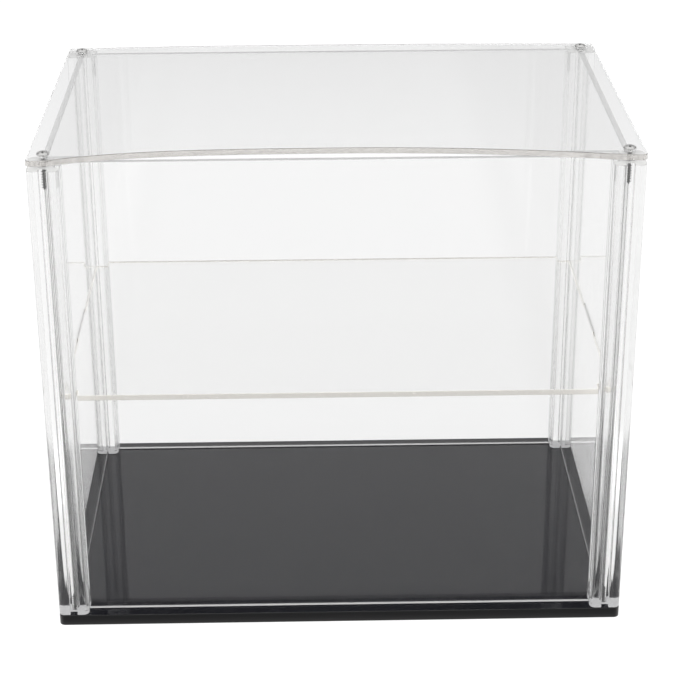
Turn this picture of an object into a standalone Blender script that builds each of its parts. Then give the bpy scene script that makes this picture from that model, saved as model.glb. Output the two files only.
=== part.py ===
"""Two-tier display case of clear acrylic sheet, standing on a gloss black base plate.

Four slotted corner posts stand on the base. Four clear panels slide down into the
posts' slots. A shelf at half height hangs by two tabs in the side panels, and a thin
lid is screwed down on the posts. The front panel is a little taller than the rest, so
the lid stands higher along its front edge, where it is also bowed up.

Axes: +X to the case's right, +Y to its back, +Z up. Origin: the middle of the
base plate's underside.
"""
import math

import bmesh
import bpy
from mathutils import Vector

MM = 0.001

# Driving dimensions of the case, overall
CASE_WIDTH = 300 * MM
CASE_DEPTH = 200 * MM
CASE_HEIGHT = 260 * MM
SHELF_TOP = 132.5 * MM

# Sheets
BASE_THICKNESS = 6 * MM
LID_THICKNESS = 3 * MM
PANEL_THICKNESS = 3 * MM
SHELF_THICKNESS = 3 * MM
PLATE_CORNER_RADIUS = 3 * MM
PLATE_EDGE_CHAMFER = 0.35 * MM

# The front panel stands this much over the posts, and the lid's front edge on it
FRONT_PANEL_RAISE = 2.4 * MM
LID_FRONT_LIFT = 2.2 * MM

# The lid's warp: its front edge stands up in an arch between the screws
LID_BOW = 5.1 * MM
LID_CLAMP_REACH = 1 * MM
LID_BOW_BACK_SHARE = 0.18
LID_BOW_LEAN_SHARE = 0.8

# Corner posts: a slot in each side but the one that faces out to the left or the right
POST_SIZE = 16 * MM
POST_CORNER_RADIUS = 3 * MM
SLOT_DEPTH = 3.2 * MM

# Shelf tabs, one in each side panel
TAB_LENGTH = 38 * MM

# Screws: pan heads on the lid, countersunk heads under the base
SHANK_DIAMETER = 2.2 * MM
LID_SCREW_LENGTH = 18 * MM
BASE_SCREW_LENGTH = 16 * MM
TIP_LENGTH = 2.2 * MM
PAN_HEAD_DIAMETER = 6.4 * MM
PAN_HEAD_HEIGHT = 1.7 * MM
PAN_RIM_HEIGHT = 0.45 * MM
SUNK_HEAD_DIAMETER = 5.6 * MM
SUNK_RIM_HEIGHT = 0.25 * MM
RECESS_SPAN = 3.4 * MM
RECESS_WIDTH = 0.8 * MM
RECESS_DEPTH = 0.9 * MM

# Clearances
SEAT_GAP = 0.3 * MM
SLOT_SIDE_CLEARANCE = 0.4 * MM
SLOT_END_CLEARANCE = 0.4 * MM
SHELF_EDGE_CLEARANCE = 0.3 * MM
SHELF_POST_CLEARANCE = 0.4 * MM
TAB_CLEARANCE = 0.4 * MM
BORE_CLEARANCE = 0.3 * MM
LID_HOLE_CLEARANCE = 0.4 * MM
SUNK_HEAD_INSET = 0.2 * MM
CUT_OVERRUN = 2 * MM
WELD_DISTANCE = 0.01 * MM

# How finely round and bowed shapes are divided
CORNER_SEGMENTS = 5
BORE_SEGMENTS = 20
TURNED_STEPS = 24
HEAD_ARC_POINTS = 5
LID_STEPS_ACROSS = 36
LID_STEPS_DEEP = 6

# Places worked out from the sizes above
POST_X = (CASE_WIDTH - POST_SIZE) / 2
POST_Y = (CASE_DEPTH - POST_SIZE) / 2
LID_BOTTOM = CASE_HEIGHT - LID_THICKNESS
WALL_BOTTOM = BASE_THICKNESS + SEAT_GAP
WALL_TOP = LID_BOTTOM - SEAT_GAP
WALL_HEIGHT = WALL_TOP - WALL_BOTTOM
WALL_MIDDLE = (WALL_TOP + WALL_BOTTOM) / 2
SHELF_MIDDLE = SHELF_TOP - SHELF_THICKNESS / 2
LID_BOW_REACH = POST_X - LID_CLAMP_REACH
SLOT_WIDTH = PANEL_THICKNESS + 2 * SLOT_SIDE_CLEARANCE
PANEL_REACH = SLOT_DEPTH - SLOT_END_CLEARANCE
SHANK_RADIUS = SHANK_DIAMETER / 2
BORE_RADIUS = SHANK_RADIUS + BORE_CLEARANCE
CORNERS = {
    "front_left": (-1, -1),
    "front_right": (1, -1),
    "back_left": (-1, 1),
    "back_right": (1, 1),
}


def clear_scene():
    """Remove every object that the file opened with."""
    for old in list(bpy.data.objects):
        bpy.data.objects.remove(old, do_unlink=True)


def new_collection(name):
    """Add a collection to the scene and return it."""
    collection = bpy.data.collections.new(name)
    bpy.context.scene.collection.children.link(collection)
    return collection


def gloss_material(name, colour, roughness, metallic, transmission=0.0):
    """A Principled surface in the part's own colour."""
    material = bpy.data.materials.new(name)
    material.use_nodes = True
    shader = material.node_tree.nodes["Principled BSDF"]
    shader.inputs["Base Color"].default_value = (*colour, 1.0)
    shader.inputs["Roughness"].default_value = roughness
    shader.inputs["Metallic"].default_value = metallic
    shader.inputs["Transmission Weight"].default_value = transmission
    return material


def link_mesh(name, mesh, collection, material=None):
    """Make an object of a mesh, in a collection, with its material."""
    made = bpy.data.objects.new(name, mesh)
    collection.objects.link(made)
    if material is not None:
        mesh.materials.clear()
        mesh.materials.append(material)
    return made


def mesh_from(bm, name):
    """Turn a bmesh into a mesh with its faces pointing out."""
    bmesh.ops.recalc_face_normals(bm, faces=bm.faces)
    mesh = bpy.data.meshes.new(name)
    bm.to_mesh(mesh)
    bm.free()
    return mesh


def box_mesh(name, size):
    """A plain box about its own middle."""
    bm = bmesh.new()
    bmesh.ops.create_cube(bm, size=1.0)
    bmesh.ops.scale(bm, vec=size, verts=bm.verts)
    return mesh_from(bm, name)


def plate_bmesh(size):
    """A sheet about its own middle, with rounded corners and a thin chamfer on its rims."""
    bm = bmesh.new()
    bmesh.ops.create_cube(bm, size=1.0)
    bmesh.ops.scale(bm, vec=size, verts=bm.verts)
    upright = [e for e in bm.edges if abs(e.verts[0].co.z - e.verts[1].co.z) > size.z / 2]
    bmesh.ops.bevel(bm, geom=upright, offset=PLATE_CORNER_RADIUS, segments=CORNER_SEGMENTS,
                    profile=0.5, affect="EDGES")
    level = [e for e in bm.edges if abs(e.verts[0].co.z - e.verts[1].co.z) < size.z / 2]
    bmesh.ops.bevel(bm, geom=level, offset=PLATE_EDGE_CHAMFER, segments=1,
                    profile=0.5, affect="EDGES")
    return bm


def outline_mesh(name, loops, thickness):
    """A flat outline, with any holes, made into a sheet about its own middle."""
    curve = bpy.data.curves.new(name, "CURVE")
    curve.dimensions = "2D"
    curve.fill_mode = "BOTH"
    curve.extrude = thickness / 2
    for loop in loops:
        spline = curve.splines.new("POLY")
        spline.points.add(len(loop) - 1)
        spline.use_cyclic_u = True
        for point, (x, y) in zip(spline.points, loop):
            point.co = (x, y, 0, 1)
    drawn = bpy.data.objects.new(name + "_outline", curve)
    bpy.context.scene.collection.objects.link(drawn)
    seen = drawn.evaluated_get(bpy.context.evaluated_depsgraph_get())
    mesh = bpy.data.meshes.new_from_object(seen)
    bpy.data.objects.remove(drawn, do_unlink=True)
    bm = bmesh.new()
    bm.from_mesh(mesh)
    bpy.data.meshes.remove(mesh)
    bmesh.ops.remove_doubles(bm, verts=bm.verts, dist=WELD_DISTANCE)
    return mesh_from(bm, name)


def turned_object(name, profile, collection, material):
    """Turn a profile, given from the top of its outer side down, about the Z axis."""
    mesh = bpy.data.meshes.new(name)
    points = [(radius, 0, height) for radius, height in profile]
    mesh.from_pydata(points, [(k, k + 1) for k in range(len(points) - 1)], [])
    made = link_mesh(name, mesh, collection, material)
    screw = made.modifiers.new("turn", "SCREW")
    screw.axis = "Z"
    screw.angle = 2 * math.pi
    screw.steps = TURNED_STEPS
    screw.render_steps = TURNED_STEPS
    screw.use_merge_vertices = True
    screw.merge_threshold = WELD_DISTANCE
    screw.use_normal_calculate = True
    return made


def cut_away(target, cutter):
    """Cut one object by another with an exact Boolean."""
    cut = target.modifiers.new("cut_" + cutter.name, "BOOLEAN")
    cut.operation = "DIFFERENCE"
    cut.solver = "EXACT"
    cut.object = cutter


def make_cutter(name, mesh, place, cutters):
    """Put a cutting shape in its place, out of the render."""
    cutter = link_mesh(name, mesh, cutters)
    cutter.location = place
    cutter.hide_render = True
    cutter.display_type = "WIRE"
    return cutter


def cone_mesh(name, low_radius, high_radius, depth):
    """A capped cone or cylinder about its own middle."""
    bm = bmesh.new()
    bmesh.ops.create_cone(bm, cap_ends=True, segments=BORE_SEGMENTS, radius1=low_radius,
                          radius2=high_radius, depth=depth)
    return mesh_from(bm, name)


def arc_points(centre_x, centre_y, radius, first_angle, last_angle, steps):
    """Points on an arc, both ends included."""
    points = []
    for step in range(steps + 1):
        angle = first_angle + (last_angle - first_angle) * step / steps
        points.append((centre_x + radius * math.cos(angle), centre_y + radius * math.sin(angle)))
    return points


def post_outline(plain_quarter):
    """The post's section: a rounded square with a slot in the middle of every side but one.

    The sides are counted in quarter turns from the front: 1 is the right, 3 is the left.
    """
    half = POST_SIZE / 2
    lip = SLOT_WIDTH / 2
    slot = [(-lip, -half), (-lip, SLOT_DEPTH - half), (lip, SLOT_DEPTH - half), (lip, -half)]
    inner = half - POST_CORNER_RADIUS
    corner = arc_points(inner, -inner, POST_CORNER_RADIUS, -math.pi / 2, 0, CORNER_SEGMENTS)
    outline = []
    for quarter in range(4):
        side = corner if quarter == plain_quarter else slot + corner
        turn_cos = round(math.cos(quarter * math.pi / 2))
        turn_sin = round(math.sin(quarter * math.pi / 2))
        outline += [(x * turn_cos - y * turn_sin, x * turn_sin + y * turn_cos) for x, y in side]
    return outline


def make_posts(parts, material):
    """Four posts of one section, with the bore that takes the screws at both ends.

    The plain side faces out, so the right posts are the left ones turned half round.
    """
    full_turn = 2 * math.pi
    bore = arc_points(0, 0, BORE_RADIUS, 0, full_turn - full_turn / BORE_SEGMENTS, BORE_SEGMENTS - 1)
    left_mesh = outline_mesh("left_post", [post_outline(3), bore], WALL_HEIGHT)
    right_mesh = outline_mesh("right_post", [post_outline(1), bore], WALL_HEIGHT)
    for corner, (side_x, side_y) in CORNERS.items():
        mesh = left_mesh if side_x < 0 else right_mesh
        post = link_mesh("post_" + corner, mesh, parts, material)
        post.location = (side_x * POST_X, side_y * POST_Y, WALL_MIDDLE)


def make_base(parts, cutters, material):
    """The base plate, drilled and countersunk from below under each post."""
    mesh = mesh_from(plate_bmesh(Vector((CASE_WIDTH, CASE_DEPTH, BASE_THICKNESS))), "base_plate")
    base = link_mesh("base_plate", mesh, parts, material)
    base.location.z = BASE_THICKNESS / 2
    head_radius = SUNK_HEAD_DIAMETER / 2
    cone_depth = head_radius - SHANK_RADIUS
    mouth_depth = SUNK_HEAD_INSET + SUNK_RIM_HEIGHT + SEAT_GAP
    hole = cone_mesh("base_hole", BORE_RADIUS, BORE_RADIUS, BASE_THICKNESS + 2 * CUT_OVERRUN)
    mouth = cone_mesh("base_mouth", head_radius + BORE_CLEARANCE, head_radius + BORE_CLEARANCE,
                      mouth_depth + CUT_OVERRUN)
    sink = cone_mesh("base_sink", head_radius + BORE_CLEARANCE, BORE_RADIUS, cone_depth)
    for corner, (side_x, side_y) in CORNERS.items():
        x = side_x * POST_X
        y = side_y * POST_Y
        cut_away(base, make_cutter("base_hole_" + corner, hole, (x, y, BASE_THICKNESS / 2), cutters))
        mouth_middle = (mouth_depth - CUT_OVERRUN) / 2
        cut_away(base, make_cutter("base_mouth_" + corner, mouth, (x, y, mouth_middle), cutters))
        sink_middle = mouth_depth + cone_depth / 2
        cut_away(base, make_cutter("base_sink_" + corner, sink, (x, y, sink_middle), cutters))


def lid_rise(x, y):
    """How far the lid stands up: a lift to the front, and an arch that dies away to the back."""
    back_share = (y + CASE_DEPTH / 2) / CASE_DEPTH
    lift = LID_FRONT_LIFT * (1 - back_share)
    along = x / LID_BOW_REACH
    if abs(along) >= 1:
        return lift
    arch = 1 - along ** 2
    if along < 0:
        arch *= 1 + LID_BOW_LEAN_SHARE * along ** 2
    return lift + LID_BOW * arch * (1 - (1 - LID_BOW_BACK_SHARE) * back_share)


def bisect(bm, place, normal):
    """Divide the faces of a bmesh along a plane."""
    geometry = bm.verts[:] + bm.edges[:] + bm.faces[:]
    bmesh.ops.bisect_plane(bm, geom=geometry, dist=WELD_DISTANCE,
                           plane_co=place, plane_no=normal)


def make_lid(parts, cutters, material, carrier):
    """The lid: a sheet divided across and back, bowed by lid_rise, drilled over each post."""
    bm = plate_bmesh(Vector((CASE_WIDTH, CASE_DEPTH, LID_THICKNESS)))
    for step in range(LID_STEPS_ACROSS + 1):
        bisect(bm, Vector((LID_BOW_REACH * (2 * step / LID_STEPS_ACROSS - 1), 0, 0)), Vector((1, 0, 0)))
    for step in range(1, LID_STEPS_DEEP):
        bisect(bm, Vector((0, CASE_DEPTH * (step / LID_STEPS_DEEP - 0.5), 0)), Vector((0, 1, 0)))
    for vertex in bm.verts:
        vertex.co.z += lid_rise(vertex.co.x, vertex.co.y)
    lid = link_mesh("lid_plate", mesh_from(bm, "lid_plate"), parts, material)
    lid.parent = carrier
    lid.location.z = LID_THICKNESS / 2
    radius = SHANK_RADIUS + LID_HOLE_CLEARANCE
    depth = LID_THICKNESS + 2 * (LID_FRONT_LIFT + CUT_OVERRUN)
    hole = cone_mesh("lid_hole", radius, radius, depth)
    for corner, (side_x, side_y) in CORNERS.items():
        place = (side_x * POST_X, side_y * POST_Y, LID_BOTTOM + LID_THICKNESS / 2)
        cut_away(lid, make_cutter("lid_hole_" + corner, hole, place, cutters))


def make_front_and_back(parts, material, carriers):
    """The front and back panels, plain sheets that slide down into the posts' slots."""
    width = CASE_WIDTH - 2 * POST_SIZE + 2 * PANEL_REACH
    heights = {"front_panel": WALL_HEIGHT + FRONT_PANEL_RAISE, "back_panel": WALL_HEIGHT}
    for name, height in heights.items():
        mesh = box_mesh(name, Vector((width, PANEL_THICKNESS, height)))
        panel = link_mesh(name, mesh, parts, material)
        panel.parent = carriers[name]
        panel.location.z = height / 2


def make_sides(parts, cutters, material, carrier):
    """The side panels, each with the slot that holds a tab of the shelf."""
    depth = CASE_DEPTH - 2 * POST_SIZE + 2 * PANEL_REACH
    mesh = box_mesh("short_panel", Vector((PANEL_THICKNESS, depth, WALL_HEIGHT)))
    slot_size = Vector((PANEL_THICKNESS + 2 * CUT_OVERRUN, TAB_LENGTH + 2 * TAB_CLEARANCE,
                        SHELF_THICKNESS + 2 * SEAT_GAP))
    slot = box_mesh("tab_slot", slot_size)
    for name, side_x in (("left_panel", -1), ("right_panel", 1)):
        panel = link_mesh(name, mesh, parts, material)
        panel.parent = carrier
        panel.location = (side_x * POST_X, 0, WALL_MIDDLE - SHELF_MIDDLE)
        cut_away(panel, make_cutter(name + "_slot", slot, (side_x * POST_X, 0, SHELF_MIDDLE), cutters))


def shelf_outline():
    """The shelf from above: corners notched round the posts, a tab in each short side."""
    panel_face = PANEL_THICKNESS / 2 + SHELF_EDGE_CLEARANCE
    edge_x = POST_X - panel_face
    edge_y = POST_Y - panel_face
    notch_x = CASE_WIDTH / 2 - POST_SIZE - SHELF_POST_CLEARANCE
    notch_y = CASE_DEPTH / 2 - POST_SIZE - SHELF_POST_CLEARANCE
    tab_x = POST_X + PANEL_THICKNESS / 2
    tab_y = TAB_LENGTH / 2
    quarter = [(tab_x, tab_y), (edge_x, tab_y), (edge_x, notch_y), (notch_x, notch_y), (notch_x, edge_y)]
    outline = quarter + [(-x, y) for x, y in reversed(quarter)]
    outline += [(-x, -y) for x, y in quarter]
    outline += [(x, -y) for x, y in reversed(quarter)]
    return outline


def make_shelf(parts, material, carrier):
    """The shelf that parts the two tiers."""
    mesh = outline_mesh("shelf", [shelf_outline()], SHELF_THICKNESS)
    shelf = link_mesh("shelf", mesh, parts, material)
    shelf.parent = carrier


def recess_cutters(name, place, cutters):
    """The two crossed bars that cut a screw's cross recess, opening upwards."""
    depth = RECESS_DEPTH + CUT_OVERRUN
    sizes = ((RECESS_SPAN, RECESS_WIDTH), (RECESS_WIDTH, RECESS_SPAN))
    made = []
    for number, (along, across) in enumerate(sizes):
        mesh = box_mesh("recess", Vector((along, across, depth)))
        made.append(make_cutter(name + "_recess_" + str(number), mesh, place, cutters))
    return made


def make_lid_screws(parts, cutters, material, carrier):
    """Pan head screws that pass the lid and grip the bores of the posts.

    Each stands clear of the highest point of the lid under its head.
    """
    rim_radius = PAN_HEAD_DIAMETER / 2
    dome_height = PAN_HEAD_HEIGHT - PAN_RIM_HEIGHT
    profile = []
    for step in range(HEAD_ARC_POINTS):
        angle = math.pi / 2 * (1 - step / HEAD_ARC_POINTS)
        profile.append((rim_radius * math.cos(angle), PAN_RIM_HEIGHT + dome_height * math.sin(angle)))
    profile += [(rim_radius, PAN_RIM_HEIGHT), (rim_radius, 0), (SHANK_RADIUS, 0)]
    profile += [(SHANK_RADIUS, TIP_LENGTH - LID_SCREW_LENGTH), (0, -LID_SCREW_LENGTH)]
    for corner, (side_x, side_y) in CORNERS.items():
        rise = lid_rise(side_x * (POST_X - rim_radius), side_y * POST_Y - rim_radius)
        seat = LID_THICKNESS + rise + SEAT_GAP
        bar_rise = seat + PAN_HEAD_HEIGHT - RECESS_DEPTH + (RECESS_DEPTH + CUT_OVERRUN) / 2
        screw = turned_object("lid_screw_" + corner, profile, parts, material)
        screw.parent = carrier
        screw.location = (side_x * POST_X, side_y * POST_Y, seat)
        place = (side_x * POST_X, side_y * POST_Y, LID_BOTTOM + bar_rise)
        for cutter in recess_cutters(screw.name, place, cutters):
            cut_away(screw, cutter)


def make_base_screws(parts, cutters, material):
    """Countersunk screws that come up through the base into the posts, heads flush below."""
    head_radius = SUNK_HEAD_DIAMETER / 2
    cone_top = SUNK_RIM_HEIGHT + head_radius - SHANK_RADIUS
    profile = [(0, BASE_SCREW_LENGTH), (SHANK_RADIUS, BASE_SCREW_LENGTH - TIP_LENGTH)]
    profile += [(SHANK_RADIUS, cone_top), (head_radius, SUNK_RIM_HEIGHT), (head_radius, 0), (0, 0)]
    bar_rise = SUNK_HEAD_INSET + RECESS_DEPTH - (RECESS_DEPTH + CUT_OVERRUN) / 2
    for corner, (side_x, side_y) in CORNERS.items():
        screw = turned_object("base_screw_" + corner, profile, parts, material)
        screw.location = (side_x * POST_X, side_y * POST_Y, SUNK_HEAD_INSET)
        place = (side_x * POST_X, side_y * POST_Y, bar_rise)
        for cutter in recess_cutters(screw.name, place, cutters):
            cut_away(screw, cutter)


def make_carrier(name, place, parts):
    """An empty that carries a group of pieces that lift together."""
    carrier = bpy.data.objects.new(name, None)
    carrier.location = place
    parts.objects.link(carrier)
    return carrier


def shade_round(parts):
    """Shade the round faces smooth and keep the true edges sharp."""
    for made in parts.objects:
        if made.type == "MESH":
            made.data.shade_smooth()
            made.data.set_sharp_from_angle(angle=math.radians(30))


def main():
    """Build the whole case."""
    clear_scene()
    parts = new_collection("display_case")
    cutters = new_collection("cutters")
    black = gloss_material("base_black", (0.012, 0.013, 0.014), 0.05, 0.0)
    clear_post = gloss_material("post_clear", (0.94, 0.95, 0.95), 0.04, 0.0, 1.0)
    clear_panel = gloss_material("panel_clear", (0.95, 0.96, 0.96), 0.02, 0.0, 1.0)
    clear_shelf = gloss_material("shelf_clear", (0.93, 0.94, 0.93), 0.02, 0.0, 1.0)
    clear_lid = gloss_material("lid_clear", (0.92, 0.93, 0.92), 0.02, 0.0, 1.0)
    steel = gloss_material("screw_steel", (0.62, 0.62, 0.61), 0.22, 1.0)

    lid_carrier = make_carrier("lid_lift", (0, 0, LID_BOTTOM), parts)
    panel_carriers = {
        "front_panel": make_carrier("front_panel_lift", (0, -POST_Y, WALL_BOTTOM), parts),
        "back_panel": make_carrier("back_panel_lift", (0, POST_Y, WALL_BOTTOM), parts),
    }
    shelf_carrier = make_carrier("shelf_unit_lift", (0, 0, SHELF_MIDDLE), parts)

    make_base(parts, cutters, black)
    make_posts(parts, clear_post)
    make_base_screws(parts, cutters, steel)
    make_front_and_back(parts, clear_panel, panel_carriers)
    make_sides(parts, cutters, clear_panel, shelf_carrier)
    make_shelf(parts, clear_shelf, shelf_carrier)
    make_lid(parts, cutters, clear_lid, lid_carrier)
    make_lid_screws(parts, cutters, steel, lid_carrier)
    shade_round(parts)


main()
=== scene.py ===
"""Finished looks of a two-tier display case: clear sheets and slotted posts on a black base.

Every piece is worked out as whole numpy arrays: sheets and posts are an outline carried
along a rim profile, the lid is such a sheet bent by its warp, and the screws are a radius
and a height over a grid of turns.
"""
import math

import bpy
import numpy as np
from bpy.props import (BoolProperty, FloatProperty, FloatVectorProperty, IntProperty,
                       PointerProperty)
from bpy.types import Operator, Panel, PropertyGroup
from mathutils import Matrix, Vector
from mathutils.geometry import delaunay_2d_cdt


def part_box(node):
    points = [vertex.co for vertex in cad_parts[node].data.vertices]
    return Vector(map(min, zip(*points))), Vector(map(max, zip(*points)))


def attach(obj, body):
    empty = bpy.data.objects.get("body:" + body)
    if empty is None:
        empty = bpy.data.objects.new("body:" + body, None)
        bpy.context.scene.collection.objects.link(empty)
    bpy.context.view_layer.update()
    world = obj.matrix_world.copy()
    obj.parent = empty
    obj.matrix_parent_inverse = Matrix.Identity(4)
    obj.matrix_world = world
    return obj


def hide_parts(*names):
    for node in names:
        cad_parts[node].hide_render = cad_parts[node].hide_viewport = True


bl_info = {
    "name": "Two-tier display case",
    "version": (1, 0, 0),
    "blender": (4, 5, 0),
    "location": "3D View > Sidebar > Display case",
    "description": "Builds the finished pieces of a clear two-tier display case",
    "category": "Object",
}

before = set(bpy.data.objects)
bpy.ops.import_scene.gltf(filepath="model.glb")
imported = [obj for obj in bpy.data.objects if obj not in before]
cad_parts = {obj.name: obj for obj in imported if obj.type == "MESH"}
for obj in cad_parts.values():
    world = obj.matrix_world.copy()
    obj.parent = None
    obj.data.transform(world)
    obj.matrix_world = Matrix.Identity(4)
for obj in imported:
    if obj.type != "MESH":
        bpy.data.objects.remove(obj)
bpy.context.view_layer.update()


def cad_span(node):
    """Lowest corner and size of a CAD node, as arrays in metres."""
    low, high = (np.array(corner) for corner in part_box(node))
    return low, high - low


BASE_SIZE = cad_span("base_plate")[1]
POST_LOW, POST_SPAN = cad_span("post_front_left")
FRONT_SPAN = cad_span("front_panel")[1]
SHELF_LOW, SHELF_SPAN = cad_span("shelf")
LID_LOW, LID_SPAN = cad_span("lid_plate")
LID_SCREW_SPAN = cad_span("lid_screw_front_left")[1]
BASE_SCREW_LOW, BASE_SCREW_SPAN = cad_span("base_screw_front_left")
POST_X = -(POST_LOW[0] + POST_SPAN[0] / 2)
POST_Y = -(POST_LOW[1] + POST_SPAN[1] / 2)
PLACES = {"front_left": (-POST_X, -POST_Y), "front_right": (POST_X, -POST_Y),
          "back_left": (-POST_X, POST_Y), "back_right": (POST_X, POST_Y)}

# How finely round shapes are divided, and the angles in degrees over which an edge stays sharp
HOLE_STEPS = 40
CORNER_STEPS = 8
CUT_STEPS = 3
SHEET_SHARP = 12
SCREW_SHARP = 42
LID_ACROSS = 76
LID_DEEP = 41
HEAD_ROWS = 56
SUNK_ROWS = 40
ROWS_A_TURN = 14
FLOOR_CELLS = 8

# Small lengths in metres: the flats kept beside fillets, rims, clearances and margins
PLATE_EASE = 0.0001
OUTLINE_EASE = 0.00008
PANEL_EASE = 0.00005
SAWN_RIM = 0.0002
SLOT_CORNER = 0.0002
SUNK_CLEARANCE = 0.0003
SLOT_MARGIN = 0.001
LID_STEP = 0.004
LID_FRONT_BAND = 0.003
LID_HOLE_MARGIN = 0.0008
THREAD_START = 0.0016
THREAD_FADE = 0.0008
SEAT_STEP = 0.00001
BUMP_DISTANCE = 0.00005
FLOOR_GAP = 0.0002

# Shares that shape a screw: its recess arms' upper edge and fall over half their width, the
# recess depth from which they are painted darker as shade, the thread's ridge, and what is
# left off the tip
ARM_EDGE = 0.62
ARM_FALL = 0.24
PAINTED_SHADE_SHARE = 0.3
RIDGE_HEIGHT = 1.25
RIDGE_SLOPE = 3.6
TIP_BLUNT = 0.3

# How far each lid screw's recess is turned, in radians
HEAD_TURNS = {"front_left": 0.12, "front_right": 1.45, "back_left": 0.2, "back_right": 1.3}

# Dust on the black base, the backdrop's upper edge and hem, the lamps' aim and the camera
DUST_COLOUR = (0.05, 0.05, 0.05)
EDGE_BLUR = 0.0004
HEM_SHARE = 0.45
LAMP_AIM = (0, 0, 0.13)
CAMERA_PLACE = (-0.01335, -0.98338, 0.57135)
CAMERA_ANGLES = (-0.9194, 24.6473, -0.3222)


def length(label, description, default, low=0.0, high=1.0):
    """A length property in metres."""
    return FloatProperty(name=label, description=description, default=float(default),
                         min=low, max=high, precision=5, subtype="DISTANCE", unit="LENGTH")


def share(label, description, default):
    """A share between nothing and all."""
    return FloatProperty(name=label, description=description, default=default,
                         min=0.0, max=1.0, subtype="FACTOR")


def colour(label, description, default):
    """A colour in scene linear light."""
    return FloatVectorProperty(name=label, description=description, default=default,
                               min=0.0, max=1.0, size=3, subtype="COLOR")


def brightness(label, description, default):
    """How bright a lit surface shows."""
    return FloatProperty(name=label, description=description, default=default,
                         min=0.0, max=10.0)


class CaseSizes(PropertyGroup):
    """Sizes that the sheets, posts and lid share."""
    plate_corner: length("Plate corners", "Corner radius of the base and the lid", 0.003)
    rim: length("Cut rims", "Radius left on the edges of laser-cut sheet", 0.00025)
    base_rim: length("Base rims", "Radius on the edges of the black base", 0.0003)
    post_corner: length("Post corners", "Corner radius of the posts", 0.003)
    slot_width: length("Slot width", "Width of the slots in the posts", 0.0038)
    slot_depth: length("Slot depth", "Depth of the slots in the posts", 0.0032)
    slot_lip: length("Slot lips", "Radius where a slot meets the post's side", 0.0005)
    slot_floor: length("Slot floors", "Radius in the corners of a slot's floor", 0.0003)
    bore: length("Bore radius", "Radius of the bore that the threads bite into", 0.00125)
    tab: length("Tab length", "Length of each tab of the shelf", 0.038)
    tab_slot_clearance: length("Tab clearance", "Gap at each end of a tab in its slot", 0.0004)
    tab_slot_gap: length("Tab gap", "Gap over and under a tab in its slot", 0.0003)
    sheet: length("Sheet", "Thickness of the clear sheet", FRONT_SPAN[1])
    shelf_edge_gap: length("Shelf gap", "Gap from the shelf's edge to the panels", 0.0003)
    shelf_post_gap: length("Shelf notch gap", "Gap from the shelf's notches to the posts", 0.0004)
    lid_hole: length("Lid holes", "Radius of the screw holes in the lid", 0.0015)
    base_hole: length("Base holes", "Radius of the screw holes in the base", 0.0014)


class CaseWarp(PropertyGroup):
    """How the lid is warped."""
    lift: length("Lift", "How far the lid's front edge stands over its back edge", 0.0022)
    bow: length("Bow", "How far the middle of the lid's front edge stands up", 0.0051)
    back_share: share("Back share", "Share of the bow left at the back edge", 0.18)
    lean_share: share("Lean", "How much fuller the arch is on its left", 0.8)
    reach: length("Reach", "Half the arch's length along the front edge", POST_X - 0.001)


class CaseScrews(PropertyGroup):
    """Sizes of the screws."""
    shank: length("Shank radius", "Radius of the plain shank", 0.0012)
    root: length("Root radius", "Radius of the thread's root", 0.0010)
    crest: length("Crest radius", "Radius of the thread's crests", 0.00137)
    pitch: length("Pitch", "Distance from one turn of the thread to the next", 0.00135)
    head_height: length("Head height", "Height of the pan head", 0.0017)
    head_rim: length("Head rim", "Height of the pan head's upright rim", 0.00045)
    sunk_rim: length("Sunk head rim", "Height of the countersunk head's rim", 0.00025)
    tip: length("Tip", "Length of the pointed tip", 0.0014)
    recess_span: length("Recess span", "Length of each arm pair of the cross recess", 0.0042)
    recess_width: length("Recess width", "Width of the arms of the cross recess", 0.0014)
    recess_depth: length("Recess depth", "Depth of the cross recess in its middle", 0.0012)
    columns: IntProperty(name="Columns", description="Faces round each screw",
                         default=128, min=12, max=256)


class CaseFinish(PropertyGroup):
    """Colours and finishes."""
    black: colour("Base black", "Colour of the black sheet", (0.0022, 0.0023, 0.0036))
    black_edge: colour("Black cut edge", "Colour of the black sheet's cut edges",
                       (0.009, 0.009, 0.0095))
    clear: colour("Panel tint", "Tint of the wall panels", (0.961, 0.961, 0.961))
    shelf_clear: colour("Shelf tint", "Tint of the shelf", (1.0, 1.0, 0.998))
    lid_clear: colour("Lid tint", "Tint of the lid", (0.987, 0.987, 0.988))
    post_clear: colour("Post tint", "Tint of the extruded posts", (0.95, 0.951, 0.949))
    cut_edge: colour("Cut edges", "Colour of the lid's laser-cut front", (0.5, 0.48, 0.455))
    panel_edge: colour("Panel edges", "Colour of the panels' laser-cut edges", (0.5, 0.5, 0.5))
    # The shelf's edges are the same laser cut as the panels' edges, painted lighter: painted light
    # standing in for lamp light the edges miss.
    shelf_edge: colour("Shelf edges", "Colour of the shelf's laser-cut edges", (0.86, 0.835, 0.79))
    # The lid's side and back edges and its screw holes' walls are the same cut as its front,
    # painted far lighter: painted light, and a painted highlight on the holes' walls.
    lid_side: colour("Lid sides", "Colour of the lid's side and back edges", (0.95, 0.95, 0.945))
    # The tab slots' walls are painted near black and opaque: painted shade for the dark gap in
    # each slot.
    tab_slot: colour("Tab slots", "Colour of the tab slots' walls, dark as painted shade",
                     (0.06, 0.06, 0.062))
    sawn_end: colour("Sawn ends", "Colour of the posts' sawn feet", (0.38, 0.38, 0.385))
    # The sawn tops are the same sawn face as the feet, painted a little lighter: painted light.
    sawn_top: colour("Sawn tops", "Colour of the posts' sawn tops", (0.42, 0.42, 0.415))
    steel: colour("Steel", "Colour of the screw heads", (0.82, 0.815, 0.805))
    # Thread: a darker copy of the steel for the threads and the recess floors: painted shade in
    # the recesses and a painted dark reflection on the threads.
    thread: colour("Thread", "Colour of the screws' threads and recesses, dark as painted shade", (0.26, 0.26, 0.26))
    refraction: FloatProperty(name="Refraction", description="Index of refraction of acrylic",
                              default=1.49, min=1.0, max=2.0)


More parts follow.
